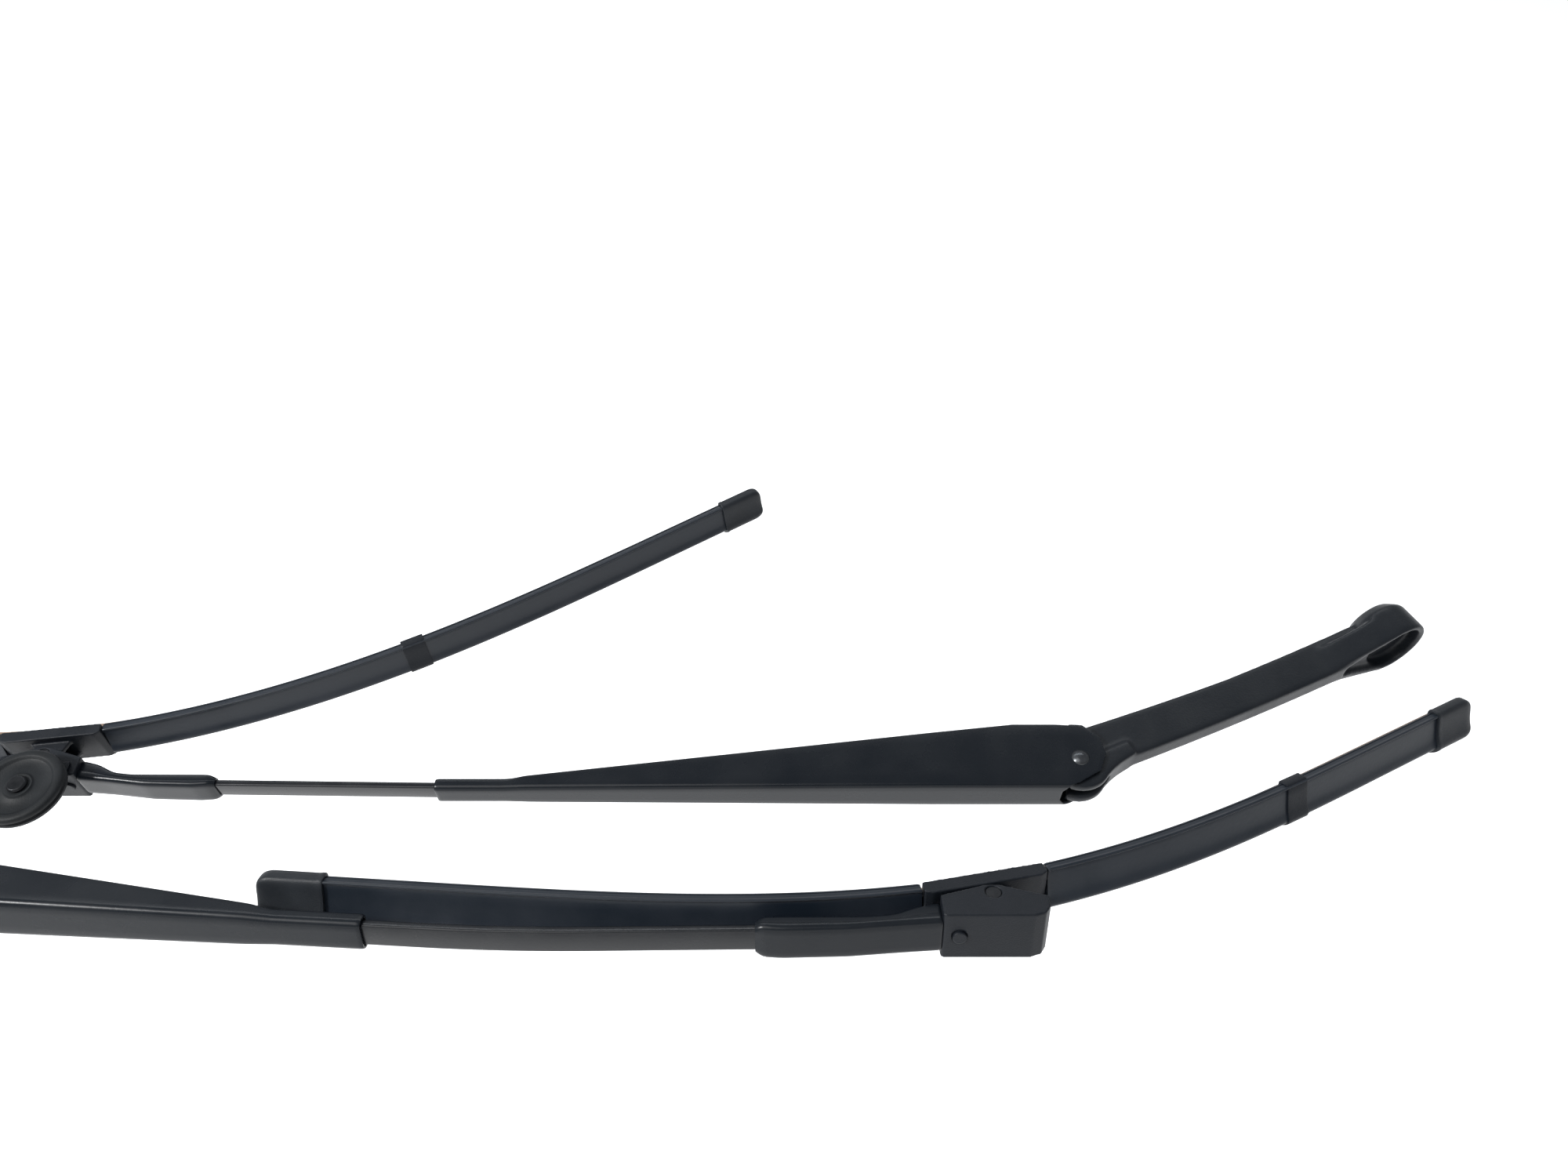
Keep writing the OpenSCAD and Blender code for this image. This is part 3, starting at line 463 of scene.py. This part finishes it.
def arm_end(w):
    name = SIDE[w] + "_arm_end"
    x0, x1 = END_X[w], END_X[w] + END_LEN
    yr = ROD_Y + (x0 - 246) * math.tan(ROD_UP)
    low = [(x0, yr - 2.1), (x0 + 3, yr - 2.7), (x0 + 8, yr - 3.1), (x0 + 28, yr - 2.5), (x1 - 12, AD_Y - 1.1), (x1, AD_Y - 0.1)]
    high = [(x0, yr + 2.2), (x0 + 3, yr + 2.9), (x1 - 22, yr + 3.0), (x1 - 14, yr + 3.9), (x1 - 7, PIV_Y - 3.2), (x1, PIV_Y - 1.5)]
    rings = []
    for x in np.concatenate([x0 + np.array([0, 0.3, 0.8, 1.5, 2.4, 3.5, 5]), np.linspace(x0 + 7, x1 - 2, 34), [x1 - 0.9, x1 - 0.3, x1]]):
        e = min(x - x0, x1 - x)
        r = 1 - (0.14 if x < x0 + 5 else 0.05) * max(0.0, 1 - e / (3.4 if x < x0 + 5 else 0.8)) ** 2
        yb, yt = soft_line(x, low), soft_line(x, high, 4.0)
        ym, hw = (yb + yt) / 2, 6.5 * (r if x > x0 + 5 else 1 - 0.22 * max(0.0, 1 - e / 3.4) ** 2)
        yb, yt = ym + (yb - ym) * r, ym + (yt - ym) * r
        rb, rt = 1.7, 1.1
        crease = yb + max(2.2, 0.42 * (yt - yb))
        ins = 0.45
        q = [(0, yb), (hw * 0.5, yb), (hw - rb, yb)]
        q += [(hw - rb + rb * math.sin(math.radians(a)), yb + rb - rb * math.cos(math.radians(a))) for a in (22, 45, 68, 90)]
        q += [(hw, crease - 0.1), (hw - 0.12, crease + 0.12), (hw - ins, crease + 0.5), (hw - ins, max(crease + 0.8, yt - rt))]
        q += [(hw - ins - rt + rt * math.cos(math.radians(a)), yt - rt + rt * math.sin(math.radians(a))) for a in (30, 60, 90)]
        q += [(hw * 0.4, yt), (0, yt)]
        q = np.array(q)
        q = np.vstack([q, (q * [-1, 1])[::-1][1:-1]])
        rings.append(place(w, np.stack([np.full(len(q), x), q[:, 1], q[:, 0]], 1)))
    V, F = loft(rings)
    return piece(name + "_skin", V, F, SIDE[w] + "_arm", MAT["coated_steel"], [name], sharp=34)


# ---------------------------------------------------------------- spring
def spring(w):
    name = SIDE[w] + "_tension_spring"
    post = np.array([-2.0, 6.5])
    an = np.array([152.0, ROD_Y + 1.2]) - post
    ang = math.atan2(an[1], an[0])
    a, b, n = 30.0, 132.0, 26
    path = [(26, 0, -2.5), (22.4, 0, -2.6), (20.9, 0, -2.1), (20.5, 0, -1.2), (20.5, 0, 1.2), (20.9, 0, 2.1), (22.4, 0, 2.6), (26, 0, 2.5)]
    for i in range(n * 20 + 1):
        t = i / (n * 20)
        r = 4.5 * min(1, i / 20 + 0.4, (n * 20 - i) / 20 + 0.25)
        path.append((a + (b - a) * t, r * math.sin(2 * math.pi * t * n), r * math.cos(2 * math.pi * t * n)))
    path += [(b + 4, 0.3, 0.5), (b + 10, 1.1, 0), (150, 1.4, 0), (153.4, 1.1, 0), (154.6, -0.2, 0), (154.8, -2.2, 0)]
    p = np.array(path)
    T = np.gradient(p, axis=0)
    T /= np.linalg.norm(T, axis=1)[:, None]
    rings, u = [], np.array([0.0, 1.0, 0.0])
    for i in range(len(p)):
        u = u - T[i] * (u @ T[i])
        u /= np.linalg.norm(u)
        v = np.cross(T[i], u)
        ring = np.array([p[i] + 0.7 * (u * math.cos(k * math.pi / 5) + v * math.sin(k * math.pi / 5)) for k in range(10)])
        c, s = math.cos(ang), math.sin(ang)
        ring = np.stack([ring[:, 0] * c - ring[:, 1] * s + post[0], ring[:, 0] * s + ring[:, 1] * c + post[1], ring[:, 2]], 1)
        rings.append(near(w, ring))
    V, F = loft(rings)
    return piece(name + "_skin", V, F, SIDE[w] + "_hook", MAT["spring_steel"], [name], sharp=60)


# ---------------------------------------------------------------- parking roller
def roller():
    cx, cy, cz, rr, wd = PIV_X[R] - 2, -17.6, 10.6, 16.6, 6.0
    prof = [(2.06, 0.5), (2.3, 0.35), (5.2, 0.35), (5.6, 0.7), (6.2, 1.25), (11.9, 1.25), (12.6, 0.9), (13.2, 0.15), (13.6, 0.0), (15.2, 0.0), (15.9, 0.3), (16.4, 0.8), (16.6, 1.4),
            (16.6, 2.2), (16.25, 2.45), (16.25, 2.75), (16.6, 3.0), (16.25, 3.25), (16.25, 3.55), (16.6, 3.8), (16.6, 4.6), (16.4, 5.2), (15.9, 5.7), (15.2, 6.0), (13.6, 6.0),
            (13.2, 5.85), (12.6, 5.1), (11.9, 4.75), (6.2, 4.75), (5.6, 5.2), (5.2, 5.65), (2.3, 5.65), (2.06, 5.5)]
    n, rings = 128, []
    for i in range(n):
        a = 2 * math.pi * i / n
        rings.append(place(R, [(cx + r * math.cos(a), cy + r * math.sin(a), cz + z) for r, z in prof]))
    m = len(prof)
    V = [tuple(p) for r in rings for p in r]
    F = []
    for i in range(n):
        for j in range(m):
            k, i2 = (j + 1) % m, (i + 1) % n
            F.append((i * m + j, i * m + k, i2 * m + k, i2 * m + j))
    return piece("park_roller_skin", V, F, "park_wheel", MAT["roller_rubber"], ["park_roller"], sharp=40)


for w in (R, L):
    S = SIDE[w]
    channel(w)
    rod(w)
    arm_end(w)
    spring(w)
    rubber(w)
    spoiler(w, -HALF[w] + CAP - 5.8, -20.8, S + "_spoiler_inner")
    spoiler(w, 20.8, HALF[w] - CAP + 5.8, S + "_spoiler_outer")
    end_cap(w, -1, S + "_cap_inner")
    end_cap(w, 1, S + "_cap_outer")
clips(R, (-150, 150), "right_blade_clips")
clips(L, (126,), "left_blade_clip")
roller()

# ---------------------------------------------------------------- CAD nodes that show as they are, with softened edges
slots = {s["node"]: s["material_slot"] for s in frame["record"]["subparts"]}
CAST = {"head": (0.5, 55), "adapter": (0.34, 6), "connector_base": (0.34, 5), "park_bracket": (0.3, 4), "spring_hook": (0.28, 4)}
EDGE = {"hinge_pin": 0.12, "spring_post": 0.25, "hinge_bushes": 0.15, "release_button": 0.35, "pivot_pin": 0.3, "flexor": 0.12, "park_axle": 0.3}
for name, o in frame["nodes"].items():
    if o.hide_render:
        continue
    o.data.materials.clear()
    o.data.materials.append(MAT["pin_black" if name.endswith("pivot_pin") or name == "park_axle" else slots[name]])
    if "custom_normal" in o.data.attributes:
        o.data.attributes.remove(o.data.attributes["custom_normal"])
    o.data.polygons.foreach_set("use_smooth", [True] * len(o.data.polygons))
    kind = name.split("_", 1)[1] if not name.startswith("park_") else name
    wl = o.modifiers.new("weld", "WELD")
    wl.merge_threshold = 2e-6
    if kind in CAST:
        voxel, turns = CAST[kind]
        rm = o.modifiers.new("cast", "REMESH")
        rm.mode, rm.voxel_size, rm.use_smooth_shade = "VOXEL", voxel / 1000, True
        sm = o.modifiers.new("soften", "SMOOTH")
        sm.factor, sm.iterations = 0.5, turns
    else:
        d = o.modifiers.new("flat", "DECIMATE")
        d.decimate_type, d.angle_limit = "DISSOLVE", math.radians(1.0)
        b = o.modifiers.new("edge", "BEVEL")
        b.width, b.segments, b.limit_method, b.angle_limit = EDGE.get(kind, 0.2) / 1000, 2, "ANGLE", math.radians(40)
        o.modifiers.new("normals", "WEIGHTED_NORMAL")

# ---------------------------------------------------------------- stage, light and camera
bpy.ops.mesh.primitive_grid_add(x_subdivisions=4, y_subdivisions=4, size=9, location=(-0.4, 0.6, -0.34))
floor = bpy.context.object
floor.name = "floor"
fm = bpy.data.materials.new("floor")
fm.use_nodes = True
fb = fm.node_tree.nodes["Principled BSDF"]
fb.inputs["Base Color"].default_value = (0.93, 0.93, 0.93, 1)
fb.inputs["Emission Color"].default_value = (1.0, 1.0, 1.0, 1)
fb.inputs["Emission Strength"].default_value = 0.42
fb.inputs["Roughness"].default_value = 0.9
fb.inputs["Specular IOR Level"].default_value = 0.0
floor.data.materials.append(fm)

world = bpy.data.worlds.new("studio")
bpy.context.scene.world = world
world.use_nodes = True
bg = world.node_tree.nodes["Background"]
bg.inputs["Color"].default_value = (0.90, 0.94, 1.0, 1)
bg.inputs["Strength"].default_value = 0.42


def lamp(name, at, aim, size, power, colour=(1, 1, 1)):
    d = bpy.data.lights.new(name, "AREA")
    d.shape, d.size, d.size_y, d.energy, d.color = "RECTANGLE", size[0], size[1], power, colour
    o = bpy.data.objects.new(name, d)
    bpy.context.scene.collection.objects.link(o)
    o.location = at
    o.rotation_euler = (Vector(aim) - Vector(at)).to_track_quat("-Z", "Y").to_euler()
    return o


lamp("key", (-0.9, -0.5, 1.7), (-0.35, -0.05, 0), (1.2, 0.9), 9, (1, 0.99, 0.97))
lamp("crease", (-1.50, -0.36, 1.1), (-0.62, -0.12, 0.06), (0.24, 0.24), 24, (1, 1, 1))
lamp("front", (-0.4, -1.5, 0.3), (-0.4, 0, 0), (2.4, 0.7), 5.5, (1.0, 0.99, 0.96))
lamp("back", (-0.45, 1.3, 1.15), (-0.4, 0, 0), (2.4, 0.3), 10, (0.94, 0.97, 1))

cam = bpy.data.cameras.new("camera")
camera = bpy.data.objects.new("camera", cam)
bpy.context.scene.collection.objects.link(camera)
cam.lens, cam.sensor_width = 26.19, 36.0
cam.clip_start, cam.clip_end = 0.02, 60
cam.dof.use_dof = False
camera.location = (-0.27345, -0.31542, 0.412)
camera.rotation_euler = (math.radians(40), 0, 0)
bpy.context.scene.camera = camera
bpy.context.scene.view_settings.view_transform = "Standard"
